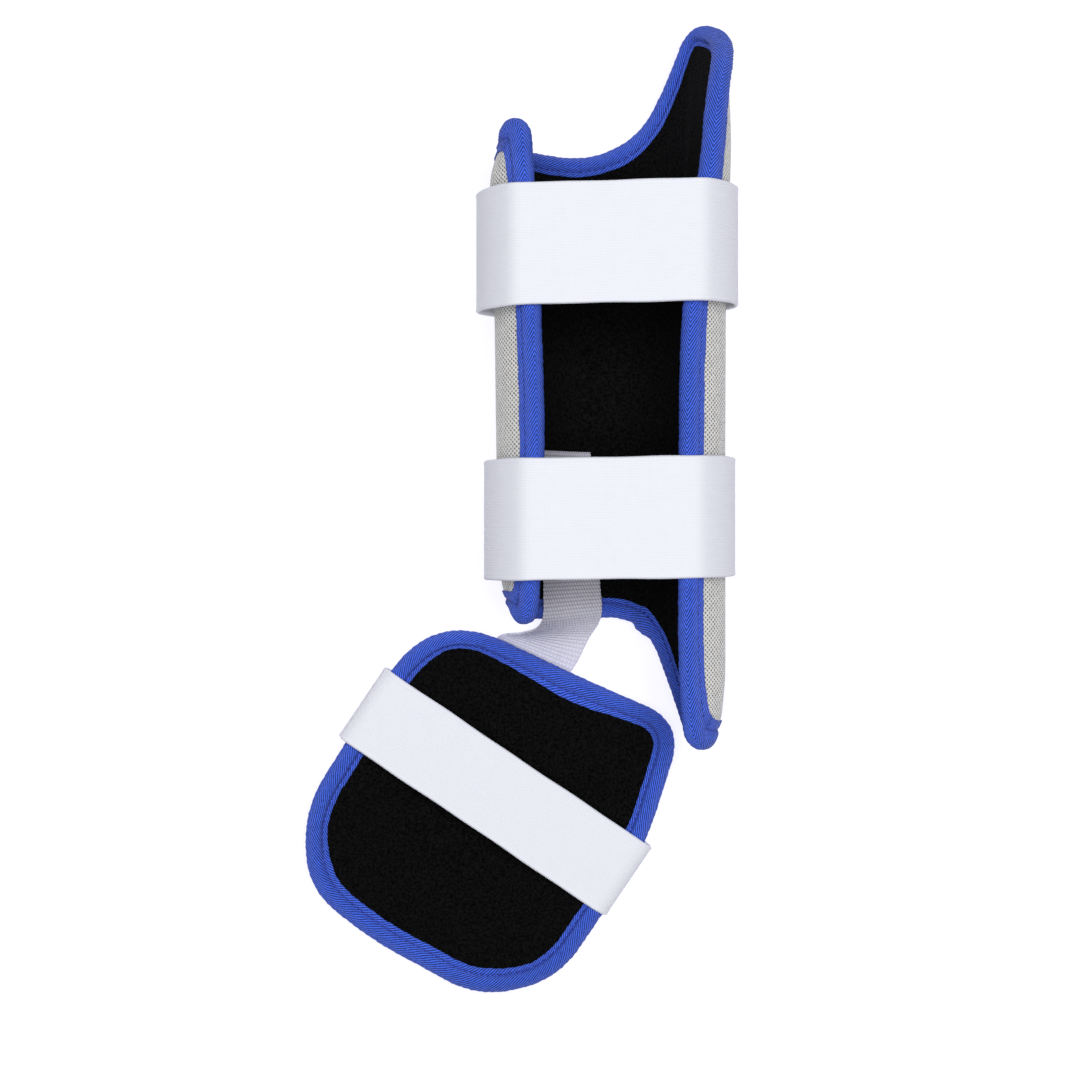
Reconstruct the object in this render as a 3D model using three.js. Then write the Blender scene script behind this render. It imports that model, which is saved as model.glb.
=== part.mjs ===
// Batter's foot guard lying on its front with the open back up: a padded shin panel bent round the leg,
// an arched instep pad, the webbing that links them and the elastic straps that close them.
// Millimetres, +Z up, the floor at Z = 0, +Y towards the knee.
import * as THREE from "three";

// Padded panels: half thicknesses, measured from the middle of the pad
const PAD_HALF = 4.7;
const EDGE_HALF = 2.6;
const GAP = 0.3;

// Binding tape folded over the cut edge of a panel
const TAPE = 1;
const SLOT_CLEAR = 0.8;
const SLOT = EDGE_HALF + SLOT_CLEAR;
const NOSE = SLOT + TAPE;
const LAP = 4.4;

// The padding grows from its bound edge to its full thickness between these distances from the cut edge
const EASE_START = 8;
const EASE_END = 26;

// Shin panel: a trough along Y, pressed a little flat where it rests
const SHIN = trough({ radius: 45.2, pressed: 1.2, spread: shinSpread });
const SHIN_X = 29.2;

// Finished edge of the shin panel: degrees round the leg from the front line, height up the leg and how far
// from the corner its rounding starts; the four tips part the bottom, right, top and left sides
const SHIN_OUTLINE = [
  { deg: -132.5, y: -36.6, soft: 11, tip: true },
  { deg: -99, y: -31, soft: 10 },
  { deg: -48, y: -34.5, soft: 18 },
  { deg: 20.4, y: -33.5, soft: 17 },
  { deg: 52, y: -86.5, soft: 12 },
  { deg: 94, y: -86, soft: 13 },
  { deg: 135.5, y: -86.5, soft: 11, tip: true },
  { deg: 141, y: -53, soft: 19 },
  { deg: 140, y: 92, soft: 34 },
  { deg: 112, y: 210, soft: 38, tip: true },
  { deg: 50, y: 222.5, soft: 12 },
  { deg: 10.6, y: 164.5, soft: 29 },
  { deg: -55, y: 168, soft: 20 },
  { deg: -99, y: 171, soft: 11 },
  { deg: -134, y: 175, soft: 12, tip: true },
  { deg: -141, y: 30, soft: 36 },
].map((corner) => ({ ...corner, s: THREE.MathUtils.degToRad(corner.deg) * SHIN.radius }));

// Half widths of the shin panel up the leg, to the left and right of its line
const SHIN_HALVES = [
  { y: -20, left: 47.4, right: 49.4 },
  { y: 40, left: 48.4, right: 49.4 },
  { y: 95, left: 49.2, right: 49.7 },
  { y: 165, left: 52.5, right: 52.3 },
];

// Ends of its walls that are drawn in between the front and the bound edge: the height where that starts and
// where it is full, and the share of the half width by which the wall is then drawn in
const DRAWN_ENDS = [
  { side: "left", start: 151, full: 177 },
  { side: "left", start: -17, full: -37 },
  { side: "right", start: -72, full: -91 },
];
const DRAWN_MOST = 0.16;

// Instep pad: a shallow trough along its own length, turned on the floor and propped at the ankle end
const INSTEP = trough({ radius: 165, pressed: 0.5, spread: () => 1 });
const INSTEP_CENTRE = new THREE.Vector2(-23.1, -114.1);
const INSTEP_TURN = THREE.MathUtils.degToRad(-34);
const INSTEP_TILT = THREE.MathUtils.degToRad(1.4);

// Finished edge of the instep pad seen from above: across the foot, towards the ankle, start of the rounding
const INSTEP_OUTLINE = [
  { across: -64, y: -45, soft: 17, tip: true },
  { across: -44, y: -74, soft: 16 },
  { across: -10, y: -78.5, soft: 18 },
  { across: 44, y: -72.5, soft: 17 },
  { across: 67.5, y: -45, soft: 17, tip: true },
  { across: 67.5, y: 20, soft: 22 },
  { across: 51, y: 77.5, soft: 19, tip: true },
  { across: 10, y: 69, soft: 20 },
  { across: -67, y: 57.2, soft: 36, tip: true },
].map((corner) => ({ ...corner, s: Math.asin(corner.across / INSTEP.radius) * INSTEP.radius }));

// Elastic straps: the two round the shin panel bend over its bound edges and hug its walls, a little askew
const STRAP = 1.8;
const STRAP_WIDTH = 50;
const STRAP_BEND = 6;
const STRAP_CLEAR = 1.6;
const STRAP_END = THREE.MathUtils.degToRad(-50);
const SHIN_STRAPS = [
  { name: "upper_strap", x: -1, y: 121.5, skew: 0.025 },
  { name: "lower_strap", x: 0, y: 9, skew: 0.014 },
];
const INSTEP_STRAP = { width: 36, thick: 1.6, y: 7.4, edge: 67, under: 34 };

// Webbing: where its two long edges run, from the end sewn to the lining over the rim to the end under the
// instep pad, in from the line of the shin panel, and how far its middle bows towards the lining
const WEBBING = 1.4;
const WEBBING_RUN = [
  { left: [-27.8, 38.5, 22.6], right: [-7.2, 38, 11.0], bow: 1.8 },
  { left: [-27.8, 5, 22.8], right: [-5, 5, 10.7], bow: 1.8 },
  { left: [-27.8, -20, 22.8], right: [-3, -19, 10.9], bow: 1.5 },
  { left: [-28, -32.5, 21.8], right: [-2.2, -30, 11.2], bow: 0.7 },
  { left: [-31, -38.2, 14], right: [-3.6, -36, 8.5], bow: 0.3 },
  { left: [-38, -40.5, 7.5], right: [-7.8, -43, 5], bow: 0 },
  { left: [-47.5, -42, 3.2], right: [-14.5, -56, 2.2], bow: 0 },
  { left: [-53, -52, 1.5], right: [-25, -67, 1.1], bow: 0 },
  { left: [-58, -60, 1.1], right: [-35, -75, 1.0], bow: 0 },
];

const COLOURS = {
  outer_cloth: new THREE.MeshStandardMaterial({ color: 0xbebebc, roughness: 0.75, metalness: 0 }),
  lining: new THREE.MeshStandardMaterial({ color: 0x0c0c0d, roughness: 0.95, metalness: 0 }),
  binding: new THREE.MeshStandardMaterial({ color: 0x3c55d7, roughness: 0.7, metalness: 0 }),
  elastic: new THREE.MeshStandardMaterial({ color: 0xf0f3fa, roughness: 0.6, metalness: 0 }),
  webbing: new THREE.MeshStandardMaterial({ color: 0xd7d4de, roughness: 0.6, metalness: 0 }),
};

// A trough's own sizes, with its axis so high that the pressed outer face of the pad lies on the floor
function trough({ radius, pressed, spread }) {
  return { radius, pressed, spread, axisZ: radius - pressed + PAD_HALF };
}

// How far the shin panel is drawn in at a height and a turn from its front line: only at the ends of its walls
function drawnIn(y, side, turn) {
  const { degToRad, smoothstep } = THREE.MathUtils;
  const flank = smoothstep(turn, degToRad(45), degToRad(85)) * (1 - smoothstep(turn, degToRad(95), degToRad(125)));
  const ends = DRAWN_ENDS.filter((end) => end.side === side);
  const near = ends.map(({ start, full }) => smoothstep((y - start) / (full - start), 0, 1));
  return DRAWN_MOST * flank * Math.max(0, ...near);
}

// How much wider or narrower than its radius the shin panel is at a height, on the left or right
function shinSpread(y, side, turn = 0) {
  const last = SHIN_HALVES.length - 2;
  const row = Math.min(Math.max(SHIN_HALVES.findLastIndex((low) => low.y <= y), 0), last);
  const [low, high] = [SHIN_HALVES[row], SHIN_HALVES[row + 1]];
  const part = THREE.MathUtils.clamp((y - low.y) / (high.y - low.y), 0, 1);
  const half = THREE.MathUtils.lerp(low[side], high[side], part);
  return (half / (SHIN.radius + PAD_HALF)) * (1 - drawnIn(y, side, turn));
}

// The point s round a trough from its lowest line and y along it, h outwards from the middle of the pad
function bend(shape, s, y, h) {
  const turn = s / shape.radius;
  const round = shape.radius + h;
  const reach = Math.min(round, (round - shape.pressed) / Math.max(Math.cos(turn), 0.5));
  const across = reach * Math.sin(turn) * shape.spread(y, s < 0 ? "left" : "right", Math.abs(turn));
  return new THREE.Vector3(across, y, shape.axisZ - reach * Math.cos(turn));
}

// Steps from 0 to 1, closer together near both ends
function steps(count) {
  return Array.from({ length: count + 1 }, (_, k) => {
    const even = k / count;
    return (even + (1 - Math.cos(Math.PI * even)) / 2) / 2;
  });
}

// Points along a closed outline with rounded corners, and where its four tips fall among them
function roundedOutline(corners) {
  const path = new THREE.Path();
  const flat = corners.map(({ s, y }) => new THREE.Vector2(s, y));
  const towards = (from, to, far) => from.clone().add(to.clone().sub(from).setLength(far));
  flat.forEach((here, i) => {
    const enter = towards(here, flat.at(i - 1), corners[i].soft);
    const leave = towards(here, flat[(i + 1) % flat.length], corners[i].soft);
    if (i === 0) path.moveTo(enter.x, enter.y);
    else path.lineTo(enter.x, enter.y);
    path.quadraticCurveTo(here.x, here.y, leave.x, leave.y);
  });
  path.closePath();
  const points = path.getSpacedPoints(2400).slice(0, -1);
  const nearest = (corner) => points.reduce((best, point, k) =>
    point.distanceTo(corner) < points[best].distanceTo(corner) ? k : best, 0);
  return { points, tips: flat.filter((_, i) => corners[i].tip).map(nearest) };
}

// The flat pattern of a panel: a grid between the four sides of its cut edge, and the finished edge itself
function pattern(corners, columns, rows) {
  const { points, tips } = roundedOutline(corners);
  const total = points.length;
  const edge = [];
  tips.forEach((from, side) => {
    const length = (tips[(side + 1) % 4] - from + total) % total;
    const count = side % 2 ? rows : columns;
    steps(count).slice(0, -1).forEach((part) => {
      const k = (from + Math.round(part * length)) % total;
      const ahead = points[(k + 3) % total].clone().sub(points.at(k - 3)).normalize();
      edge.push({ at: points[k], inward: new THREE.Vector2(-ahead.y, ahead.x) });
    });
  });
  const cut = edge.map(({ at, inward }) => at.clone().addScaledVector(inward, NOSE));
  const ring = (k) => cut[k % cut.length];
  const bottom = (i) => ring(i);
  const right = (j) => ring(columns + j);
  const top = (i) => ring(columns + rows + (columns - i));
  const left = (j) => ring(2 * columns + rows + (rows - j));
  const grid = (i, j) => {
    const u = steps(columns)[i];
    const t = steps(rows)[j];
    const point = new THREE.Vector2();
    point.addScaledVector(bottom(i), 1 - t).addScaledVector(top(i), t);
    point.addScaledVector(left(j), 1 - u).addScaledVector(right(j), u);
    point.addScaledVector(bottom(0), -(1 - u) * (1 - t)).addScaledVector(bottom(columns), -u * (1 - t));
    point.addScaledVector(top(0), -(1 - u) * t).addScaledVector(top(columns), -u * t);
    const far = Math.min(...points.map((p) => p.distanceTo(point))) - NOSE;
    const ease = THREE.MathUtils.smoothstep(far, EASE_START, EASE_END);
    return { point, half: THREE.MathUtils.lerp(EDGE_HALF, PAD_HALF, ease) };
  };
  const cells = Array.from({ length: rows + 1 }, (_, j) =>
    Array.from({ length: columns + 1 }, (_, i) => grid(i, j)));
  return { columns, rows, edge, cells };
}

// A closed solid between two grids of points, the upper one seen from above with i to the right and j away
function slab(columns, rows, upper, lower) {
  const spots = [];
  const index = [];
  for (const side of [upper, lower]) {
    for (let j = 0; j <= rows; j++) {
      for (let i = 0; i <= columns; i++) spots.push(side(i, j));
    }
  }
  const at = (side, i, j) => (side * (rows + 1) + j) * (columns + 1) + i;
  const quad = (a, b, c, d) => index.push(a, b, c, a, c, d);
  for (let j = 0; j < rows; j++) {
    for (let i = 0; i < columns; i++) {
      quad(at(0, i, j), at(0, i + 1, j), at(0, i + 1, j + 1), at(0, i, j + 1));
      quad(at(1, i, j), at(1, i, j + 1), at(1, i + 1, j + 1), at(1, i + 1, j));
    }
    quad(at(0, 0, j), at(0, 0, j + 1), at(1, 0, j + 1), at(1, 0, j));
    quad(at(1, columns, j), at(1, columns, j + 1), at(0, columns, j + 1), at(0, columns, j));
  }
  for (let i = 0; i < columns; i++) {
    quad(at(1, i, 0), at(1, i + 1, 0), at(0, i + 1, 0), at(0, i, 0));
    quad(at(0, i, rows), at(0, i + 1, rows), at(1, i + 1, rows), at(1, i, rows));
  }
  return new THREE.BufferGeometry().setFromPoints(spots).setIndex(index);
}

// The outer half of a pad, from just outside its middle to its outer face
function coverSolid(shape, { columns, rows, cells }) {
  const face = (height) => (i, j) => {
    const { point, half } = cells[j][i];
    return bend(shape, point.x, point.y, height(half));
  };
  return slab(columns, rows, face(() => GAP / 2), face((half) => half));
}

// The inner half of a pad, the lining that faces the leg
function liningSolid(shape, { columns, rows, cells }) {
  const face = (height) => (i, j) => {
    const { point, half } = cells[j][i];
    return bend(shape, point.x, point.y, height(half));
  };
  return slab(columns, rows, face((half) => -half), face(() => -GAP / 2));
}

// The tape round the edge of a pad: a round nose with a slot that takes the cut edge, laps on both faces
function bindingSolid(shape, { edge }) {
  const nose = [-90, -54, -18, 18, 54, 90].map((deg) => {
    const angle = THREE.MathUtils.degToRad(deg);
    return { inward: NOSE - NOSE * Math.cos(angle), h: NOSE * Math.sin(angle) };
  });
  const inner = [
    { inward: NOSE + LAP, h: NOSE },
    { inward: NOSE + LAP, h: SLOT },
    { inward: NOSE - SLOT_CLEAR, h: SLOT },
    { inward: NOSE - SLOT_CLEAR, h: -SLOT },
    { inward: NOSE + LAP, h: -SLOT },
    { inward: NOSE + LAP, h: -NOSE },
  ];
  const profile = [...nose, ...inner];
  const spots = edge.flatMap(({ at, inward }) => profile.map((p) => {
    const flat = at.clone().addScaledVector(inward, p.inward);
    return bend(shape, flat.x, flat.y, p.h);
  }));
  const index = [];
  const spot = (k, m) => (k % edge.length) * profile.length + (m % profile.length);
  edge.forEach((_, k) => profile.forEach((_, m) => {
    const [a, b, c, d] = [spot(k, m), spot(k, m + 1), spot(k + 1, m + 1), spot(k + 1, m)];
    index.push(a, b, c, a, c, d);
  }));
  return new THREE.BufferGeometry().setFromPoints(spots).setIndex(index);
}

// A band of one width that follows a line in the XZ plane, centred on Y = 0
function bandSolid(line, thick, width) {
  const sides = [thick / 2, -thick / 2].map((off) => line.map((here, k) => {
    const ahead = line[Math.min(k + 1, line.length - 1)].clone().sub(line[Math.max(k - 1, 0)]).normalize();
    return new THREE.Vector2(here.x - ahead.y * off, here.y + ahead.x * off);
  }));
  const shape = new THREE.Shape([...sides[0], ...sides[1].reverse()]);
  const band = new THREE.ExtrudeGeometry(shape, { depth: width, bevelEnabled: false });
  band.deleteAttribute("normal").deleteAttribute("uv");
  return band.rotateX(Math.PI / 2).translate(0, width / 2, 0);
}

// A whole line that is the same left and right, from its right half
function mirrored(right) {
  const left = right.map((p) => new THREE.Vector2(-p.x, p.y)).reverse();
  return [...left, ...right];
}

// Points of an arc round a centre
function arc(centre, radius, from, to, steps) {
  return Array.from({ length: steps + 1 }, (_, k) => {
    const angle = THREE.MathUtils.lerp(from, to, k / steps);
    return new THREE.Vector2(centre.x + radius * Math.cos(angle), centre.y + radius * Math.sin(angle));
  });
}

// A strap over the open back of the shin panel: flat from edge to edge, round a bend, then along the wall, where
// it closes in on the cover; the bend touches the flat run and, from within, the round of the wall
function shinStrapSolid({ x, y }, height) {
  const top = height + GAP + STRAP / 2;
  const axis = new THREE.Vector2(0, SHIN.axisZ);
  const full = SHIN.radius + PAD_HALF;
  const widest = Math.max(...["left", "right"].map((side) => shinSpread(y + STRAP_WIDTH / 2, side)));
  const hug = full * widest + STRAP_CLEAR + STRAP / 2;
  const end = full * Math.hypot(widest * Math.cos(STRAP_END), Math.sin(STRAP_END));
  const snug = end + Math.abs(x) + 2 * GAP + STRAP / 2;
  const up = top - STRAP_BEND - axis.y;
  const bendAt = new THREE.Vector2(Math.sqrt((hug - STRAP_BEND) ** 2 - up ** 2), top - STRAP_BEND);
  const meet = Math.asin(up / (hug - STRAP_BEND));
  const wall = Array.from({ length: 10 }, (_, k) => {
    const angle = THREE.MathUtils.lerp(meet, STRAP_END, (k + 1) / 10);
    const reach = THREE.MathUtils.lerp(hug, snug, THREE.MathUtils.smoothstep(-angle, 0, -STRAP_END));
    return new THREE.Vector2(reach * Math.cos(angle), axis.y + reach * Math.sin(angle));
  });
  const right = [...arc(bendAt, STRAP_BEND, Math.PI / 2, meet, 5), ...wall];
  return bandSolid(mirrored(right), STRAP, STRAP_WIDTH);
}

// The strap over the instep pad: straight across, round both edges and a little way back under the pad
function instepStrapSolid() {
  const { width, thick, edge, under } = INSTEP_STRAP;
  const wrap = PAD_HALF + GAP + 0.2 + thick / 2;
  const axis = new THREE.Vector2(0, INSTEP.axisZ);
  const turn = Math.asin(edge / INSTEP.radius) - NOSE / INSTEP.radius;
  const nose = new THREE.Vector2(Math.sin(turn), -Math.cos(turn)).multiplyScalar(INSTEP.radius).add(axis);
  const right = [
    ...arc(nose, wrap, Math.PI / 2, turn - Math.PI / 2, 8),
    ...arc(axis, INSTEP.radius + wrap, turn - Math.PI / 2, turn - under / INSTEP.radius - Math.PI / 2, 4).slice(1),
  ];
  return bandSolid(mirrored(right), thick, width);
}

// The webbing between its two long edges, bowed between them where it lies on the curved lining
function webbingSolid() {
  const [columns, rows] = [4, 24];
  const run = (side) => new THREE.CatmullRomCurve3(WEBBING_RUN.map((row) => new THREE.Vector3(...row[side])));
  const [left, right] = [run("left"), run("right")];
  const middle = (i, j) => {
    const part = j / rows;
    const across = i / columns;
    const from = left.getPoint(part);
    const to = right.getPoint(part);
    const place = part * (WEBBING_RUN.length - 1);
    const row = Math.min(Math.floor(place), WEBBING_RUN.length - 2);
    const bow = THREE.MathUtils.lerp(WEBBING_RUN[row].bow, WEBBING_RUN[row + 1].bow, place - row);
    const width = to.clone().sub(from).normalize();
    const down = new THREE.Vector3(width.z, 0, -width.x).normalize();
    return from.lerp(to, across).addScaledVector(down, bow * 4 * across * (1 - across));
  };
  const face = (off) => (i, j) => {
    const across = middle(Math.min(i + 1, columns), j).sub(middle(Math.max(i - 1, 0), j));
    const along = middle(i, Math.max(j - 1, 0)).sub(middle(i, Math.min(j + 1, rows)));
    return middle(i, j).addScaledVector(across.cross(along).normalize(), off);
  };
  return slab(columns, rows, (i, j) => face(WEBBING / 2)(i, rows - j), (i, j) => face(-WEBBING / 2)(i, rows - j));
}

function piece(name, geometry, material) {
  const mesh = new THREE.Mesh(geometry, material);
  mesh.name = name;
  return mesh;
}

// The shin panel with its straps and the webbing, about the line under its middle
function makeShin() {
  const shin = new THREE.Group();
  const panel = pattern(SHIN_OUTLINE, 32, 16);
  const binding = piece("shin_binding", bindingSolid(SHIN, panel), COLOURS.binding);
  const height = new THREE.Box3().setFromObject(binding).max.z;
  shin.add(
    piece("shin_cover", coverSolid(SHIN, panel), COLOURS.outer_cloth),
    piece("shin_lining", liningSolid(SHIN, panel), COLOURS.lining),
    binding,
    piece("link_webbing", webbingSolid(), COLOURS.webbing),
  );
  for (const strap of SHIN_STRAPS) {
    const askew = new THREE.Matrix4().makeShear(strap.skew, 0, 0, 0, 0, 0);
    const band = piece(strap.name, shinStrapSolid(strap, height).applyMatrix4(askew), COLOURS.elastic);
    band.position.set(strap.x, strap.y, 0);
    shin.add(band);
  }
  shin.position.x = SHIN_X;
  return shin;
}

// The instep pad with its strap, turned and propped, its lowest point on the floor
function makeInstep() {
  const instep = new THREE.Group();
  const panel = pattern(INSTEP_OUTLINE, 16, 14);
  const strap = piece("instep_strap", instepStrapSolid(), COLOURS.elastic);
  strap.position.y = INSTEP_STRAP.y;
  instep.add(
    piece("instep_cover", coverSolid(INSTEP, panel), COLOURS.outer_cloth),
    piece("instep_lining", liningSolid(INSTEP, panel), COLOURS.lining),
    piece("instep_binding", bindingSolid(INSTEP, panel), COLOURS.binding),
    strap,
  );
  instep.rotation.set(INSTEP_TILT, 0, INSTEP_TURN, "ZXY");
  instep.position.set(INSTEP_CENTRE.x, INSTEP_CENTRE.y, 0);
  instep.position.z = -new THREE.Box3().setFromObject(instep, true).min.z;
  return instep;
}

const guard = new THREE.Group();
guard.add(makeShin(), makeInstep());
const box = new THREE.Box3().setFromObject(guard, true);
const centre = box.getCenter(new THREE.Vector3());
guard.position.set(-centre.x, -centre.y, -box.min.z);

export default guard;
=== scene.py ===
"""Batter's foot guard: a padded shin panel and instep pad with bound edges, elastic straps and webbing.

Metres, +Z up, the floor at Z = 0, +Y towards the knee. The guard lies on its front with its open back up.
"""

from collections import namedtuple

import bpy
import numpy as np
from bpy.props import FloatProperty, FloatVectorProperty, IntProperty, PointerProperty
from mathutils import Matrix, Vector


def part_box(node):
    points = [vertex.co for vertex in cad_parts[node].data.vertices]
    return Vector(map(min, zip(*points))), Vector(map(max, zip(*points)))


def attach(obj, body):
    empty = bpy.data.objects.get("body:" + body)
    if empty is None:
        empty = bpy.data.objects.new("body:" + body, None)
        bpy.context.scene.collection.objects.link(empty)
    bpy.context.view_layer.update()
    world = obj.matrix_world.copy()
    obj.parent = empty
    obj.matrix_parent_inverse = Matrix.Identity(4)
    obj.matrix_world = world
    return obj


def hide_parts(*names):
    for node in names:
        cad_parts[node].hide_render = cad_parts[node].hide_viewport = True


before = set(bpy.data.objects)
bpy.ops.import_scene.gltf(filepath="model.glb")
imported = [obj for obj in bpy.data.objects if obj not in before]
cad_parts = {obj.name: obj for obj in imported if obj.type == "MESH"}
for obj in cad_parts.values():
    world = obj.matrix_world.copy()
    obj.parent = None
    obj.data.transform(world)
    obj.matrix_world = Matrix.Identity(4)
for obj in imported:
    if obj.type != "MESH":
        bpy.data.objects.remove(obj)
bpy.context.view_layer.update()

bl_info = {
    "name": "Batter's Foot Guard",
    "version": (1, 0, 0),
    "blender": (4, 5, 0),
    "location": "View3D > Sidebar > Foot Guard",
    "description": "Builds a padded foot guard with bound edges, elastic straps and webbing",
    "category": "Object",
}

# Finished edge of the shin panel: degrees round the leg from its front line, height up the leg and how far
# from the corner the rounding starts. The four tips part the bottom, right, top and left sides.
ShinCorner = namedtuple("ShinCorner", "turn height soft tip", defaults=(False,))
SHIN_CORNERS = (
    ShinCorner(-132.5, -0.0366, 0.011, True),
    ShinCorner(-99, -0.031, 0.010),
    ShinCorner(-48, -0.0345, 0.018),
    ShinCorner(20.4, -0.0335, 0.017),
    ShinCorner(52, -0.0865, 0.012),
    ShinCorner(94, -0.086, 0.013),
    ShinCorner(135.5, -0.0865, 0.011, True),
    ShinCorner(141, -0.053, 0.019),
    ShinCorner(140, 0.092, 0.034),
    ShinCorner(112, 0.210, 0.038, True),
    ShinCorner(50, 0.2225, 0.012),
    ShinCorner(10.6, 0.1645, 0.029),
    ShinCorner(-55, 0.168, 0.020),
    ShinCorner(-99, 0.171, 0.011),
    ShinCorner(-134, 0.175, 0.012, True),
    ShinCorner(-141, 0.030, 0.036),
)

# Half widths of the shin panel up the leg, left and right of its front line
HalfWidth = namedtuple("HalfWidth", "height left right")
SHIN_HALF_WIDTHS = (
    HalfWidth(-0.020, 0.0474, 0.0494),
    HalfWidth(0.040, 0.0484, 0.0494),
    HalfWidth(0.095, 0.0492, 0.0497),
    HalfWidth(0.165, 0.0525, 0.0523),
)

# Ends of its walls that are drawn in between the front and the bound edge: side, the height where that starts
# and where it is full
DrawnEnd = namedtuple("DrawnEnd", "side start full")
DRAWN_ENDS = (
    DrawnEnd(-1, 0.151, 0.177),
    DrawnEnd(-1, -0.017, -0.037),
    DrawnEnd(1, -0.072, -0.091),
)

# Degrees round the leg where a drawn-in wall starts to bend in, is fully in, starts back and is back
FLANK_START, FLANK_FULL, FLANK_BACK, FLANK_END = 45, 85, 95, 125

# Finished edge of the instep pad seen from above: across the foot, towards the ankle, start of the rounding
PadCorner = namedtuple("PadCorner", "across ahead soft tip", defaults=(False,))
INSTEP_CORNERS = (
    PadCorner(-0.064, -0.045, 0.017, True),
    PadCorner(-0.044, -0.074, 0.016),
    PadCorner(-0.010, -0.0785, 0.018),
    PadCorner(0.044, -0.0725, 0.017),
    PadCorner(0.0675, -0.045, 0.017, True),
    PadCorner(0.0675, 0.020, 0.022),
    PadCorner(0.051, 0.0775, 0.019, True),
    PadCorner(0.010, 0.069, 0.020),
    PadCorner(-0.067, 0.0572, 0.036, True),
)

# Where the tape lies double on the edge of the shin panel: degrees round the leg, height, length and rise
TapeLump = namedtuple("TapeLump", "turn height span rise")
TAPE_LUMPS = (
    TapeLump(17, -0.0335, 0.011, 0.0015),
    TapeLump(-20, -0.0340, 0.008, 0.0009),
)

# The tape is folded round the tips of the shin panel that lie further round the leg than this, in degrees.
# Its laps are wider there by a share, less with the distance.
FOLDED_TIP = 120
TIP_LAP = 0.9
TIP_REACH = 0.016

# Where the instep pad's lap gets wider or narrower along its ankle edge: across the foot, reach and share
LapChange = namedtuple("LapChange", "across reach share")
ANKLE_LAPS = (
    LapChange(0.004, 0.020, 0.6),
    LapChange(-0.055, 0.020, -0.35),
)
TOE_LAP = 0.4

# How far from the pad's middle the laps at the ankle and at the toes start to change and are fully changed
ANKLE_START, ANKLE_FULL = 0.035, 0.055
TOE_START, TOE_FULL = 0.050, 0.070

# How uneven the tape and its laps are, and the whole waves round a loop that make them so
TAPE_UNEVEN = 0.00016
TAPE_GATHER = 0.00010
TAPE_WAVES = (41, 67, 103, 149)
LAP_UNEVEN = 0.05
LAP_WAVES = (29, 53, 97)

# The slot between the laps: its room round the cut edge and how far it reaches into the nose
SLOT_ROOM = 0.00015
SLOT_PAST = 0.0006

# Where the seam runs across the outer lap and the lining's, and how much of a stitch shows, as shares
OUTER_SEAM = 0.4
INNER_SEAM = 0.5
STITCH_SHOWN = 0.72

# How many points of an outline either way set the direction across its tape
LAP_WINDOW = 24

# The two straps round the shin panel: place on its front line and slope across
ShinStrap = namedtuple("ShinStrap", "name node aside height skew")
SHIN_STRAPS = (
    ShinStrap("upper_elastic", "upper_strap", -0.001, 0.1215, 0.025),
    ShinStrap("lower_elastic", "lower_strap", 0.0, 0.009, 0.014),
)

# Where the two long edges of the webbing run, from the end sewn to the lining over the rim to the end under
# the instep pad, as places from the foot of the shin panel's front line, and how far its middle bows down
WebbingRow = namedtuple("WebbingRow", "left right bow")
WEBBING_ROWS = (
    WebbingRow((-0.0278, 0.0385, 0.0226), (-0.0072, 0.0380, 0.0110), 0.0018),
    WebbingRow((-0.0278, 0.0050, 0.0228), (-0.0050, 0.0050, 0.0107), 0.0018),
    WebbingRow((-0.0278, -0.0200, 0.0228), (-0.0030, -0.0190, 0.0109), 0.0015),
    WebbingRow((-0.0280, -0.0325, 0.0218), (-0.0022, -0.0300, 0.0112), 0.0007),
    WebbingRow((-0.0310, -0.0382, 0.0140), (-0.0036, -0.0360, 0.0085), 0.0003),
    WebbingRow((-0.0380, -0.0405, 0.0075), (-0.0078, -0.0430, 0.0050), 0.0),
    WebbingRow((-0.0475, -0.0420, 0.0032), (-0.0145, -0.0560, 0.0022), 0.0),
    WebbingRow((-0.0530, -0.0520, 0.0015), (-0.0250, -0.0670, 0.0011), 0.0),
    WebbingRow((-0.0580, -0.0600, 0.0011), (-0.0350, -0.0750, 0.0010), 0.0),
)

Trough = namedtuple("Trough", "radius pressed axis_height spread place")
Panel = namedtuple("Panel", "flat far half")


def length(label, words, default):
    """A size in metres that the sidebar shows."""
    return FloatProperty(name=label, description=words, default=default, unit="LENGTH", precision=4)


def angle(label, words, degrees):
    """An angle, given in degrees."""
    return FloatProperty(name=label, description=words, default=np.radians(degrees), subtype="ANGLE")


def amount(label, words, default):
    """A plain number from 0 up."""
    return FloatProperty(name=label, description=words, default=default, min=0.0)


def colour(label, words, red, green, blue):
    """A colour given as display values from 0 to 255, kept as linear light."""
    shown = np.array([red, green, blue]) / 255
    linear = np.where(shown <= 0.04045, shown / 12.92, ((shown + 0.055) / 1.055) ** 2.4)
    return FloatVectorProperty(
        name=label, description=words, default=linear.tolist(), subtype="COLOR", min=0.0, max=1.0)


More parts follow.
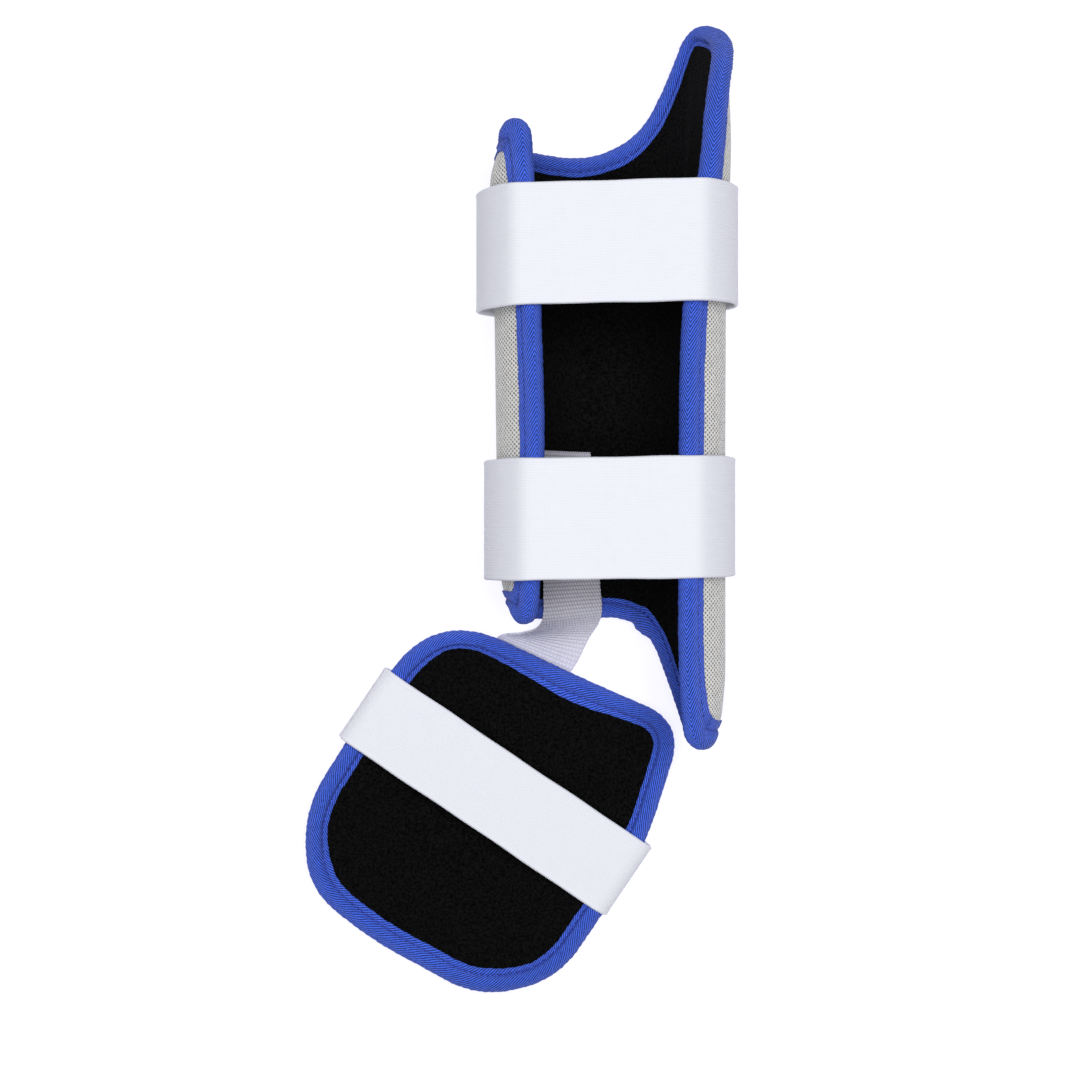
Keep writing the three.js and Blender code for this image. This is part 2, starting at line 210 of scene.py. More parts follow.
class GuardSizes(bpy.types.PropertyGroup):
    """Driving sizes of the guard."""
    pad_half: length("Half pad", "Half the thickness of a padded panel", 0.0047)
    edge_half: length("Half edge", "Half the thickness of a panel at its cut edge", 0.0026)
    layer_gap: length("Layer gap", "Room between a panel's outer and inner layer", 0.0003)
    ease_start: length("Ease start", "Distance from the cut edge where the padding starts to grow", 0.008)
    ease_end: length("Ease end", "Distance from the cut edge where the padding is full", 0.026)
    nose: length("Tape nose", "Radius of the binding where it folds over the edge", 0.0044)
    lap: length("Tape lap", "How far the binding laps onto the lining, past its nose", 0.0044)
    outer_lap: length("Outer tape lap", "How far it laps onto the outer cloth, past its nose", 0.0060)
    flap: length("Tape flap", "Height of the binding's free border over the middle of the pad", 0.0033)
    seam_depth: length("Seam depth", "How deep the seam pulls the binding in", 0.0006)
    stitch: length("Stitch", "Distance from stitch to stitch along a seam", 0.0031)
    thread: length("Thread", "Radius of the sewing thread", 0.00020)
    shin_radius: length("Shin radius", "Radius of the middle of the shin panel", 0.0452)
    shin_pressed: length("Shin pressed", "How far the shin panel is pressed flat on the floor", 0.0012)
    shin_drawn: amount("Shin drawn in", "Share of its half width by which a wall end is drawn in", 0.16)
    instep_radius: length("Instep radius", "Radius of the middle of the instep pad", 0.165)
    instep_pressed: length("Instep pressed", "How far the instep pad is pressed flat", 0.0005)
    instep_aside: length("Instep aside", "Instep pad's middle, across from the shin line", -0.0523)
    instep_ahead: length("Instep ahead", "Instep pad's middle, along the shin line", -0.1141)
    instep_turn: angle("Instep turn", "How far the instep pad is turned on the floor", -34)
    instep_tilt: angle("Instep tilt", "How far its ankle end is propped up", 1.4)
    strap_thick: length("Strap thickness", "Thickness of the straps round the shin", 0.0018)
    strap_width: length("Strap width", "Width of the straps round the shin", 0.050)
    strap_bend: length("Strap bend", "Radius where a strap turns down over the edge", 0.006)
    strap_clear: length("Strap room", "Room between a strap and the cover at the side", 0.0016)
    strap_sag: length("Strap sag", "How far a strap sinks between the bound edges", 0.0008)
    strap_end: angle("Strap end", "Where a strap ends on the cover, from level", -50)
    instep_strap_thick: length("Instep strap thickness", "Thickness of the instep strap", 0.0016)
    instep_strap_width: length("Instep strap width", "Width of the instep strap", 0.036)
    instep_strap_ahead: length("Instep strap place", "Its middle, ahead of the pad's middle", 0.0074)
    instep_strap_edge: length("Instep strap edge", "Half width of the pad where it wraps round", 0.067)
    instep_strap_under: length("Instep strap under", "How far it runs back under the pad", 0.034)
    webbing_thick: length("Webbing thickness", "Thickness of the link webbing", 0.0014)
    webbing_fan: length("Webbing fan", "How far up its low end the webbing is fanned out", 0.040)
    webbing_close: length("Webbing close", "How far up the webbing is closely woven", 0.068)
    webbing_row: length("Webbing row", "Distance between the rows of the webbing's weave", 0.00165)
    webbing_rib: length("Webbing rib", "Distance between the bumps of one row", 0.00135)
    twill: length("Twill", "Distance between twill lines along the binding", 0.0019)
    twill_spine: length("Twill spine", "Where the twill turns, from the fold towards the outer side", 0.0026)
    twill_lean: amount("Twill lean", "How far along the binding a twill line runs for each step across", 1.75)
    mesh_along: length("Mesh along", "Distance between columns of holes in the outer cloth", 0.00095)
    mesh_round: length("Mesh round", "Distance between their rows, round the leg", 0.0014)
    elastic_rib: length("Elastic rib", "Distance between ribs along the elastic", 0.0008)
    swell_start: length("Swell start", "How much flatter a pad starts before it is filled", 0.0008)
    swell_most: length("Swell most", "The most that filling may move a point of a pad", 0.0010)
    swell_pressure: amount("Swell pressure", "Pressure that fills the pads", 4.0)
    swell_frames: IntProperty(name="Swell frames", description="Steps of the filling", default=20, min=1)


class GuardColours(bpy.types.PropertyGroup):
    """Colours of the guard's cloths, each with its light and dark threads."""
    cloth_light: colour("Cloth light", "Raised threads of the outer cloth", 238, 237, 232)
    cloth_dark: colour("Cloth dark", "Sunk threads of the outer cloth", 92, 92, 91)
    lining_light: colour("Lining light", "Fibre tips of the lining", 19, 19, 20)
    lining_dark: colour("Lining dark", "Depth of the lining", 1, 1, 2)
    tape_light: colour("Tape light", "Raised twill lines of the binding", 76, 118, 255)
    tape_dark: colour("Tape dark", "Lines between them", 0, 8, 98)
    thread: colour("Thread", "Sewing thread of the binding", 40, 58, 170)
    elastic_light: colour("Elastic light", "Ribs of the elastic", 240, 242, 249)
    elastic_dark: colour("Elastic dark", "Between the ribs", 229, 230, 243)
    webbing_light: colour("Webbing light", "Bumps of the webbing", 226, 224, 236)
    webbing_dark: colour("Webbing dark", "Between the bumps", 130, 128, 144)
    floor: colour("Floor", "The pale floor", 150, 150, 150)
    floor_glow: colour("Floor glow", "Light that the floor itself gives", 227, 226, 236)


class GuardStage(bpy.types.PropertyGroup):
    """Camera and light."""
    camera_height: length("Camera height", "Camera above the floor", 1.2)
    frame_width: length("Frame width", "Width of floor that the picture shows", 0.473)
    frame_aside: length("Frame aside", "Middle of the picture, across from the shin line", -0.0292)
    floor_half: length("Half floor", "Half the side of the floor", 40.0)
    floor_drop: length("Floor drop", "Room between the guard and the floor", 0.0002)
    lamp_aside: length("Lamp aside", "Soft lamp, across", 0.12)
    lamp_ahead: length("Lamp ahead", "Soft lamp, towards the knee", 0.15)
    lamp_height: length("Lamp height", "Soft lamp above the floor", 2.4)
    lamp_size: length("Lamp size", "Side of the soft lamp", 1.4)
    lamp_power: amount("Lamp power", "Watts of the soft lamp", 60.0)
    sky: amount("Sky", "Strength of the even light from all round", 0.04)
    backdrop: amount("Backdrop", "How bright the sky itself looks", 0.9)


def unit(vectors):
    """Vectors scaled to length 1."""
    return vectors / np.maximum(np.linalg.norm(vectors, axis=-1, keepdims=True), 1e-12)


def smoothstep(value, low, high):
    """0 below low and 1 above high, with an S-shaped rise between."""
    part = np.clip((value - low) / (high - low), 0, 1)
    return part * part * (3 - 2 * part)


def mix(first, second, part):
    """From first to second by a share."""
    return first + (second - first) * part


def distance_along(line):
    """Distance along a line from its first point to each of its points."""
    return np.append(0, np.cumsum(np.linalg.norm(np.diff(line, axis=0), axis=1)))


def at_distances(line, run, places):
    """Points of a line in the plane at places along it, from the distance of each of its points."""
    return np.stack([np.interp(places, run, line[:, 0]), np.interp(places, run, line[:, 1])], -1)


def border_round(from_border, radius):
    """Share of the full thickness near a rounded border, as a circle rises."""
    return np.sqrt(1 - (1 - np.clip(from_border / radius, 0, 1)) ** 2)


def shin_origin():
    """Foot of the shin panel's front line at height 0, from the lower strap, which sits square on it."""
    low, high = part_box("lower_strap")
    strap = SHIN_STRAPS[1]
    return np.array([(low.x + high.x) / 2 - strap.aside, (low.y + high.y) / 2 - strap.height, 0.0])


def half_width(height, side):
    """Half width of the shin panel at a height, on its left where side is below 0 and else on its right."""
    heights, left, right = np.array(SHIN_HALF_WIDTHS).T
    return np.where(side < 0, np.interp(height, heights, left), np.interp(height, heights, right))


def shin_trough(sizes):
    """The trough of the shin panel, whose half widths follow the table up the leg and whose walls are drawn
    in at three ends, most where they stand upright and not at all along the bound edge."""
    full = sizes.shin_radius + sizes.pad_half
    origin = shin_origin()

    def spread(s, y):
        turn = np.degrees(np.abs(s)) / sizes.shin_radius
        flank = smoothstep(turn, FLANK_START, FLANK_FULL) * (1 - smoothstep(turn, FLANK_BACK, FLANK_END))
        near = [
            smoothstep((y - end.start) / (end.full - end.start), 0, 1) * (s * end.side > 0)
            for end in DRAWN_ENDS
        ]
        return half_width(y, s) / full * (1 - sizes.shin_drawn * flank * np.max(near, axis=0))

    def place(points):
        return points + origin

    return Trough(sizes.shin_radius, sizes.shin_pressed, full - sizes.shin_pressed, spread, place)


def instep_trough(sizes):
    """The shallow trough of the instep pad, tilted, turned and set down until its binding meets the floor."""
    axis_height = sizes.instep_radius + sizes.pad_half - sizes.instep_pressed
    tilt, turn = sizes.instep_tilt, sizes.instep_turn
    tilted = np.array([[1, 0, 0], [0, np.cos(tilt), -np.sin(tilt)], [0, np.sin(tilt), np.cos(tilt)]])
    turned = np.array([[np.cos(turn), -np.sin(turn), 0], [np.sin(turn), np.cos(turn), 0], [0, 0, 1]])
    middle = shin_origin() + (sizes.instep_aside, sizes.instep_ahead, 0.0)

    def spread(s, y):
        return np.ones_like(s)

    def rest(points):
        return points @ (turned @ tilted).T + middle

    loose = Trough(sizes.instep_radius, sizes.instep_pressed, axis_height, spread, rest)
    outline = instep_outline(sizes)
    nose = unit(np.roll(outline, -1, 0) - np.roll(outline, 1, 0))[:, ::-1] * (-1, 1) * sizes.nose
    lowest = bend(loose, *(outline + nose).T, sizes.nose)[:, 2].min()

    def place(points):
        return rest(points) - (0, 0, lowest)

    return loose._replace(place=place)


def bend(trough, s, y, h):
    """The point s round a trough from its lowest line and y along it, h outwards from the middle of the pad:
    a circle of radius plus h, pressed flat where it would reach below the floor, spread to its half width."""
    s, y, h = np.broadcast_arrays(s, y, h)
    turn = s / trough.radius
    circle = trough.radius + h
    least_cosine = 0.5
    level = (circle - trough.pressed) / np.maximum(np.cos(turn), least_cosine)
    softness = 0.0002
    reach = level - softness * np.logaddexp(0, (level - circle) / softness)
    x = reach * np.sin(turn) * trough.spread(s, y)
    return trough.place(np.stack([x, y, trough.axis_height - reach * np.cos(turn)], -1))


def rounded_outline(corners, table, count=2400, curve_points=33):
    """Evenly spaced points of a closed outline: straight runs, with a quadratic curve round each corner that
    starts where the table says."""
    soft = np.array([row.soft for row in table])[:, None]
    enter = corners + unit(np.roll(corners, 1, 0) - corners) * soft
    leave = corners + unit(np.roll(corners, -1, 0) - corners) * soft
    t = np.linspace(0, 1, curve_points)[None, :, None]
    curves = (1 - t) ** 2 * enter[:, None] + 2 * t * (1 - t) * corners[:, None] + t ** 2 * leave[:, None]
    line = np.vstack([curves.reshape(-1, 2), curves[:1, 0]])
    run = distance_along(line)
    return at_distances(line, run, np.linspace(0, run[-1], count, endpoint=False))


def shin_corners(sizes):
    """Corners of the shin panel's flat pattern: distance round the leg and height."""
    return np.array([(np.radians(c.turn) * sizes.shin_radius, c.height) for c in SHIN_CORNERS])


def instep_corners(sizes):
    """Corners of the instep pad's flat pattern, unrolled from their places seen from above."""
    radius = sizes.instep_radius
    return np.array([(np.arcsin(c.across / radius) * radius, c.ahead) for c in INSTEP_CORNERS])


def shin_outline(sizes):
    """Finished edge of the shin panel in its flat pattern."""
    return rounded_outline(shin_corners(sizes), SHIN_CORNERS)


def instep_outline(sizes):
    """Finished edge of the instep pad in its flat pattern."""
    return rounded_outline(instep_corners(sizes), INSTEP_CORNERS)


def along(outline, places):
    """Points of a closed outline at fractional places among its points."""
    low = np.floor(places).astype(int)
    part = (places - low)[:, None]
    return mix(outline[low % len(outline)], outline[(low + 1) % len(outline)], part)


def inward(outline, places, window=6):
    """Unit vectors into the outline, square to its run over a few points either way."""
    ahead = unit(along(outline, places + window) - along(outline, places - window))
    return np.stack([-ahead[:, 1], ahead[:, 0]], -1)


def filled_grid(ring, columns, rows):
    """A Coons patch inside a ring of points: the blend of left and right sides, plus the blend of bottom and
    top, less the blend of the four corners."""
    closed = np.vstack([ring, ring[:1]])
    bottom = closed[:columns + 1]
    right = closed[columns:columns + rows + 1]
    top = closed[columns + rows:2 * columns + rows + 1][::-1]
    left = closed[2 * columns + rows:][::-1]
    u = np.linspace(0, 1, columns + 1)[None, :, None]
    t = np.linspace(0, 1, rows + 1)[:, None, None]
    sides = mix(left[:, None], right[:, None], u)
    ends = mix(bottom[None], top[None], t)
    corners = mix(mix(bottom[0], bottom[-1], u), mix(top[0], top[-1], u), t)
    return sides + ends - corners


def panel_pattern(corners, table, sizes, columns, rows):
    """Flat pattern of a padded panel: a grid inside its cut edge, each point's distance from that edge, and
    half the thickness there, which grows from the edge to the full padding. The grid's four sides meet at the
    tips of the table."""
    outline = rounded_outline(corners, table)
    tips = corners[[row.tip for row in table]]
    starts = np.linalg.norm(outline[:, None] - tips, axis=-1).argmin(0)
    spans = np.diff(np.append(starts, starts[0] + len(outline)))
    counts = (columns, rows, columns, rows)
    places = np.concatenate([start + span * np.arange(count) / count
                             for start, span, count in zip(starts, spans, counts)])
    cut = along(outline, places) + inward(outline, places) * sizes.nose
    flat = filled_grid(cut, columns, rows)
    edge = outline[::3]
    far = np.array([np.linalg.norm(row[:, None] - edge, axis=-1).min(1) for row in flat]) - sizes.nose
    half = mix(sizes.edge_half, sizes.pad_half, smoothstep(far, sizes.ease_start, sizes.ease_end))
    return Panel(flat, far, half)


def slab_quads(rows, columns):
    """Quads of a closed slab between an upper and a lower grid of points, joined round their borders."""
    upper, lower = np.arange(2 * rows * columns).reshape(2, rows, columns)

    def cells(grid):
        return np.stack([grid[:-1, :-1], grid[:-1, 1:], grid[1:, 1:], grid[1:, :-1]], -1).reshape(-1, 4)

    def border(grid):
        return np.concatenate([grid[0, :-1], grid[:-1, -1], grid[-1, :0:-1], grid[:0:-1, 0]])

    over, under = border(upper), border(lower)
    rim = np.stack([over, under, np.roll(under, -1), np.roll(over, -1)], -1)
    return np.concatenate([cells(upper), cells(lower)[:, ::-1], rim])


def ring_quads(rings, points):
    """Quads of a closed tube: rings of points, the last ring joined to the first."""
    spots = np.arange(rings * points).reshape(rings, points)
    ahead = np.roll(spots, -1, 0)
    return np.stack([spots, np.roll(spots, -1, 1), np.roll(ahead, -1, 1), ahead], -1).reshape(-1, 4)


def make_piece(name, spots, quads, material, pattern=None):
    """A smooth mesh object from points and quads, with a place on its cloth in metres for each corner of each
    quad as UV map."""
    spots = np.asarray(spots, np.float32).reshape(-1, 3)
    mesh = bpy.data.meshes.new(name)
    mesh.vertices.add(len(spots))
    mesh.vertices.foreach_set("co", spots.ravel())
    mesh.loops.add(quads.size)
    mesh.loops.foreach_set("vertex_index", quads.astype(np.int32).ravel())
    mesh.polygons.add(len(quads))
    mesh.polygons.foreach_set("loop_start", np.arange(0, quads.size, 4, dtype=np.int32))
    mesh.update(calc_edges=True)
    if mesh.validate():
        raise RuntimeError(f"{name} has faces that are not sound")
    mesh.shade_smooth()
    if pattern is not None:
        layer = mesh.uv_layers.new(name="pattern")
        layer.uv.foreach_set("vector", np.asarray(pattern, np.float32).ravel())
    mesh.materials.append(material)
    piece = bpy.data.objects.new(name, mesh)
    bpy.context.scene.collection.objects.link(piece)
    return piece


def slab_piece(name, grids, material):
    """A closed slab from grids of its upper points, its lower points and their place on the cloth."""
    upper, lower, pattern = grids
    quads = slab_quads(*pattern.shape[:2])
    return make_piece(name, [upper, lower], quads, material, np.reshape([pattern, pattern], (-1, 2))[quads])


def dress(piece, node):
    """The piece stands for a CAD node: it hangs under the root body and the CAD node is hidden."""
    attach(piece, "root")
    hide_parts(node)


def mesh_spots(mesh):
    """All vertex places of a mesh as an array."""
    spots = np.empty(len(mesh.vertices) * 3, np.float32)
    mesh.vertices.foreach_get("co", spots)
    return spots.reshape(-1, 3)


def fill_pad(piece, sewn, sizes):
    """Swells a closed pad by a cloth simulation: pressure pushes its free points out, the sewn ones stay, and
    no point moves further than the cap or below the floor."""
    group = piece.vertex_groups.new(name="sewn")
    group.add(np.flatnonzero(sewn).tolist(), 1.0, "REPLACE")
    cloth = piece.modifiers.new("Fill", "CLOTH")
    cloth.settings.vertex_group_mass = group.name
    cloth.settings.mass = 0.02
    cloth.settings.bending_stiffness = 0.4
    cloth.settings.use_pressure = True
    cloth.settings.uniform_pressure_force = sizes.swell_pressure
    cloth.settings.effector_weights.gravity = 0.0
    cloth.collision_settings.use_collision = False
    cloth.point_cache.frame_end = sizes.swell_frames
    scene = bpy.context.scene
    for step in range(1, sizes.swell_frames + 1):
        scene.frame_set(step)
    start = mesh_spots(piece.data)
    filled = mesh_spots(piece.evaluated_get(bpy.context.evaluated_depsgraph_get()).data)
    piece.modifiers.remove(cloth)
    piece.vertex_groups.remove(group)
    scene.frame_set(1)
    moved = filled - start
    far = np.linalg.norm(moved, axis=1, keepdims=True)
    moved *= np.minimum(1, sizes.swell_most / np.maximum(far, 1e-9))
    spots = start + moved
    spots[:, 2] = np.maximum(spots[:, 2], 0.0)
    piece.data.vertices.foreach_set("co", spots.ravel())
    piece.data.update()


def make_layer(name, trough, panel, sizes, side, material):
    """One layer of a padded panel as a closed slab: side 1 is the outer layer and side -1 the lining. Its
    hidden face runs along the middle of the pad, its shown face starts a little flat and is filled."""
    flat_start = sizes.swell_start * smoothstep(panel.far, sizes.ease_start, sizes.ease_end)
    s, y = np.moveaxis(panel.flat, -1, 0)
    shown = bend(trough, s, y, side * (panel.half - flat_start))
    hidden = bend(trough, s, y, side * sizes.layer_gap / 2)
    faces = [hidden, shown] if side > 0 else [shown, hidden]
    piece = slab_piece(name, (*faces, panel.flat), material)
    border = panel.far < sizes.ease_start
    everywhere = np.ones_like(border)
    sewn = [everywhere, border] if side > 0 else [border, everywhere]
    fill_pad(piece, np.stack(sewn).ravel(), sizes)
    smooth = piece.modifiers.new("Smooth", "SUBSURF")
    smooth.levels = smooth.render_levels = 1
    return piece


def lap_height(t, seam, sizes):
    """Height of the tape's lap over the middle of the pad, from its nose at 0 to its border at 1: it sinks to
    the flap, dips at the seam and rounds off at its border."""
    sink_start, sink_end, dip_half, round_span = 0.05, 0.5, 0.10, 0.1
    sink = mix(sizes.nose, sizes.flap, smoothstep(t, sink_start, sink_end))
    dip = sizes.seam_depth * np.exp(-((t - seam) / dip_half) ** 2)
    border = border_round(1 - t, round_span)
    under = sizes.edge_half + SLOT_ROOM
    return under + (sink - dip - under) * border


def tape_section(sizes, nose_points=10, lap_points=25):
    """Section of the folded tape as distances in from the finished edge and out from the middle of the pad:
    on either side a quarter circle of the nose and a lap, with a slot for the cut edge between the laps."""
    under = sizes.edge_half + SLOT_ROOM
    turn = np.linspace(0, np.pi / 2, nose_points)[:-1]
    nose = np.stack([sizes.nose * (1 - np.cos(turn)), sizes.nose * np.sin(turn)], -1)
    t = np.linspace(0, 1, lap_points)
    halves = []
    for side, lap, seam in tape_laps(sizes):
        run = np.stack([sizes.nose + lap * t, lap_height(t, seam, sizes)], -1)
        half = np.vstack([nose, run, [[sizes.nose - SLOT_PAST, under]]])
        halves.append((half * (1, side), distance_along(half) * side))
    (outer, outer_across), (inner, inner_across) = halves
    section = np.vstack([outer, inner[:0:-1]])
    across = np.append(outer_across, inner_across[:0:-1])
    return section, across


def tape_laps(sizes):
    """The outer lap and the lining's: side, width and where the seam runs across it."""
    return (1, sizes.outer_lap, OUTER_SEAM), (-1, sizes.lap, INNER_SEAM)


def shin_lap(edge, sizes):
    """How much wider the shin panel's lap is, as a share: round the tips where the tape is folded."""
    folded = [corner.tip and abs(corner.turn) > FOLDED_TIP for corner in SHIN_CORNERS]
    tips = shin_corners(sizes)[folded]
    near = np.linalg.norm(edge[:, None] - tips[None], axis=-1).min(1)
    return TIP_LAP * np.exp(-(near / TIP_REACH) ** 2)


def instep_lap(edge, sizes):
    """How much wider the instep pad's lap is, as a share: at the toes and as the table says at the ankle."""
    across, ahead = edge.T
    ankle = smoothstep(ahead, ANKLE_START, ANKLE_FULL)
    toes = smoothstep(-ahead, TOE_START, TOE_FULL)
    changes = sum(row.share * np.exp(-((across - row.across) / row.reach) ** 2) for row in ANKLE_LAPS)
    return TOE_LAP * toes + ankle * changes


def ripple(part, waves):
    """A closed ripple along a loop: a few sine waves that fit it a whole number of times."""
    return sum(np.sin(2 * np.pi * part * count + count) for count in waves) / len(waves)


def loop_length(outline):
    """Length of a closed outline."""
    return np.linalg.norm(np.roll(outline, -1, 0) - outline, axis=1).sum()


def nearest_part(outline, spot):
    """How far round a closed outline, from 0 to 1, its point nearest to a spot lies."""
    return np.linalg.norm(outline - spot, axis=1).argmin() / len(outline)


def ring_pattern(part, across, whole, quads):
    """Place along and across a tape for each corner of its quads. Where the loop closes, the first ring
    counts as a whole length further on."""
    places = np.stack(np.meshgrid(part * whole, across, indexing="ij"), -1).reshape(-1, 2)[quads]
    closing = np.ptp(places[..., 0], axis=1, keepdims=True) > whole / 2
    places[..., 0] += whole * (closing & (places[..., 0] < whole / 2))
    return places


def make_binding(name, trough, outline, sizes, rings, widen, lumps, material):
    """Tape round the edge of a panel: its section carried along the outline, a little uneven, gathered at
    each stitch, with laps that widen by a function of the place, and thicker where lumps (place round the
    loop, length, height) say that tape lies double."""
    section, across = tape_section(sizes)
    places = np.arange(rings) * len(outline) / rings
    edge = along(outline, places)
    inwards = inward(outline, places, LAP_WINDOW)
    round_length = loop_length(outline)
    part = np.arange(rings) / rings
    stitches = round(round_length / sizes.stitch)
    puff = TAPE_UNEVEN * ripple(part, TAPE_WAVES)
    puff += TAPE_GATHER * np.cos(2 * np.pi * part * stitches)
    sharp_start = 0.0015
    for place, span, height in lumps:
        ahead = (part - place) * round_length
        puff += height * smoothstep(ahead, 0, sharp_start) * (1 - smoothstep(ahead, 0.5 * span, span))
    outwards = unit(section - (sizes.nose, 0.0))
    above_slot = np.abs(section[:, 1]) > sizes.edge_half + 2 * SLOT_ROOM
    slot_margin = 0.0001
    before_slot = section[:, 0] < sizes.nose - SLOT_PAST - slot_margin
    shown = above_slot | before_slot
    grown = section[None] + outwards[None] * (puff[:, None] * shown)[..., None]
    past_nose = np.maximum(grown[..., 0] - sizes.nose, 0)
    wider = widen(edge, sizes) + LAP_UNEVEN * ripple(part, LAP_WAVES)
    grown[..., 0] += past_nose * wider[:, None]
    flat = edge[:, None] + inwards[:, None] * grown[..., :1]
    spots = bend(trough, flat[..., 0], flat[..., 1], grown[..., 1])
    spots[..., 2] = np.maximum(spots[..., 2], 0.0)
    quads = ring_quads(rings, len(section))
    pattern = ring_pattern(part, across, sizes.twill * round(round_length / sizes.twill), quads)
    return make_piece(name, spots, quads, material, pattern)


def make_stitches(name, starts, ends, outwards, radius, material):
    """Short threads from starts to ends that bow outwards: five rings of six points, thin at both ends."""
    rings, sides = 5, 6
    t = np.linspace(-1, 1, rings)[None, :, None, None]
    turn = np.arange(sides)[:, None] * 2 * np.pi / sides
    axis = unit(ends - starts)
    side = np.cross(axis, outwards)
    centre = mix(starts[:, None, None], ends[:, None, None], (t + 1) / 2)
    centre = centre + outwards[:, None, None] * radius * (1 - t ** 2)
    round_about = np.cos(turn) * side[:, None, None] + np.sin(turn) * outwards[:, None, None]
    thin_end = 0.08
    spots = centre + round_about * radius * np.sqrt(1 + thin_end - t ** 2)
    tube = ring_quads(rings, sides)[:(rings - 1) * sides]
    first_cap = np.array([[3, 2, 1, 0], [5, 4, 3, 0]])
    last_cap = first_cap[:, ::-1] + (rings - 1) * sides
    thread = np.vstack([tube, first_cap, last_cap])
    base = np.arange(len(starts)) * rings * sides
    return make_piece(name, spots, (base[:, None, None] + thread).reshape(-1, 4), material)


def sew_binding(name, trough, outline, sizes, widen, material):
    """The seam along both laps of a binding: one stitch after another in the dip of the lap."""
    stitches = round(loop_length(outline) / sizes.stitch)
    spacing = len(outline) / stitches
    middles = (np.arange(stitches) + 0.5) * spacing
    near_flap, clear = 0.94, 0.00005
    height = mix(sizes.nose, sizes.flap, near_flap) - sizes.seam_depth + clear
    half_stitch = STITCH_SHOWN / 2 * spacing
    threads = []
    for side, lap, seam in tape_laps(sizes):
        def spot(places, h):
            edge = along(outline, places)
            inset = sizes.nose + lap * seam * (1 + widen(edge, sizes))
            flat = edge + inward(outline, places, LAP_WINDOW) * inset[:, None]
            return bend(trough, flat[:, 0], flat[:, 1], side * h)

        outwards = unit(spot(middles, height + sizes.thread) - spot(middles, height))
        threads.append((spot(middles - half_stitch, height), spot(middles + half_stitch, height), outwards))
    starts, ends, outwards = np.concatenate(threads, axis=1)
    return make_stitches(name, starts, ends, outwards, sizes.thread, material)


def arc(centre, radius, start, end, count=24):
    """Points of an arc in the plane."""
    turn = np.linspace(start, end, count)
    return np.stack([centre[0] + radius * np.cos(turn), centre[1] + radius * np.sin(turn)], -1)


def mirrored_line(right, count, passes=6):
    """A line that is the same left and right, from its right half, in evenly spaced points, smoothed by
    taking each point towards its neighbours a few times."""
    line = np.vstack([right[::-1] * (-1, 1), right])
    run = distance_along(line)
    points = at_distances(line, run, np.linspace(0, run[-1], count))
    for _ in range(passes):
        points[1:-1] = (points[:-2] + 2 * points[1:-1] + points[2:]) / 4
    return points, run[-1]


def band_slab(line, span, width, thick, skew, place, columns_across=64):
    """A woven band along a line in the XZ plane: its two faces part by the thickness, which is rounded and a
    little fuller along both borders, as a selvedge is. Its border wavers a little. Returns grids of upper
    points, lower points and places on the cloth."""
    ahead = unit(np.gradient(line, axis=0))
    normal = np.stack([-ahead[:, 1], ahead[:, 0]], -1)
    even = np.linspace(-1, 1, columns_across)
    crowding = 0.35
    w = mix(even, np.sin(even * np.pi / 2), crowding)
    from_border = (1 - np.abs(w)) * width / 2
    bead_in, bead_half, bead_rise = 0.0010, 0.0006, 0.22
    bead = 1 + bead_rise * np.exp(-((from_border - bead_in) / bead_half) ** 2)
    body, thin_border = 0.92, 0.06
    half = thick / 2 * np.maximum(border_round(from_border, thick / 2) * bead * body, thin_border)
    run = np.linspace(0, span, len(line))
    waver, short_wave, long_wave = 0.00018, 0.0071, 0.0173
    y = w[:, None] * (width / 2 + waver * np.sin(run / short_wave) * np.sin(run / long_wave))

    def face(side):
        xz = line[None] + side * half[:, None, None] * normal[None]
        return place(np.stack([xz[..., 0], y + skew * xz[..., 0], xz[..., 1]], -1))

    pattern = np.stack(np.broadcast_arrays(run[None], y), -1)
    return face(1), face(-1), pattern


def strap_widest(strap, sizes):
    """Half width of the cover where the strap round it is widest, at its upper border."""
    return max(half_width(strap.height + sizes.strap_width / 2, side) for side in (-1, 1))


def closed_in(points, strap, sizes):
    """A strap's points with its ends closed in on the cover, which is narrower on one side and towards the
    ankle: the further down the wall, the more of that difference is taken in."""
    x, y, z = np.moveaxis(points, -1, 0)
    half = half_width(y + strap.height, x) - np.sign(x) * strap.aside
    share = half / (strap_widest(strap, sizes) + abs(strap.aside))
    full = sizes.shin_radius + sizes.pad_half
    down = smoothstep(full - sizes.shin_pressed - z, 0, -full * np.sin(sizes.strap_end))
    return np.stack([x * mix(1, share, down), y, z], -1)


def shin_strap_line(strap, sizes, height):
    """A strap over the open back: flat from edge to edge, round a bend, then along the wall, where it closes
    in on the cover. The bend touches the flat run and, from within, the round of the wall."""
    top = height + sizes.layer_gap + sizes.strap_thick / 2
    full = sizes.shin_radius + sizes.pad_half
    axis_height = full - sizes.shin_pressed
    widest = strap_widest(strap, sizes)
    hug = widest + sizes.strap_clear + sizes.strap_thick / 2
    up = top - sizes.strap_bend - axis_height
    bend_at = (np.sqrt((hug - sizes.strap_bend) ** 2 - up ** 2), top - sizes.strap_bend)
    meet = np.arcsin(up / (hug - sizes.strap_bend))
    end = np.hypot(widest * np.cos(sizes.strap_end), full * np.sin(sizes.strap_end))
    snug = end + abs(strap.aside) + 2 * sizes.layer_gap + sizes.strap_thick / 2
    wall_points = 60
    turn = np.linspace(meet, sizes.strap_end, wall_points)[1:]
    reach = mix(hug, snug, smoothstep(-turn, 0, -sizes.strap_end))
    wall = np.stack([reach * np.cos(turn), axis_height + reach * np.sin(turn)], -1)
    right = np.vstack([arc(bend_at, sizes.strap_bend, np.pi / 2, meet), wall])
    line, span = mirrored_line(right, count=241)
    sag = sizes.strap_sag * np.clip(1 - (line[:, 0] / bend_at[0]) ** 2, 0, 1) * (line[:, 1] > axis_height)
    return line - sag[:, None] * (0, 1), span


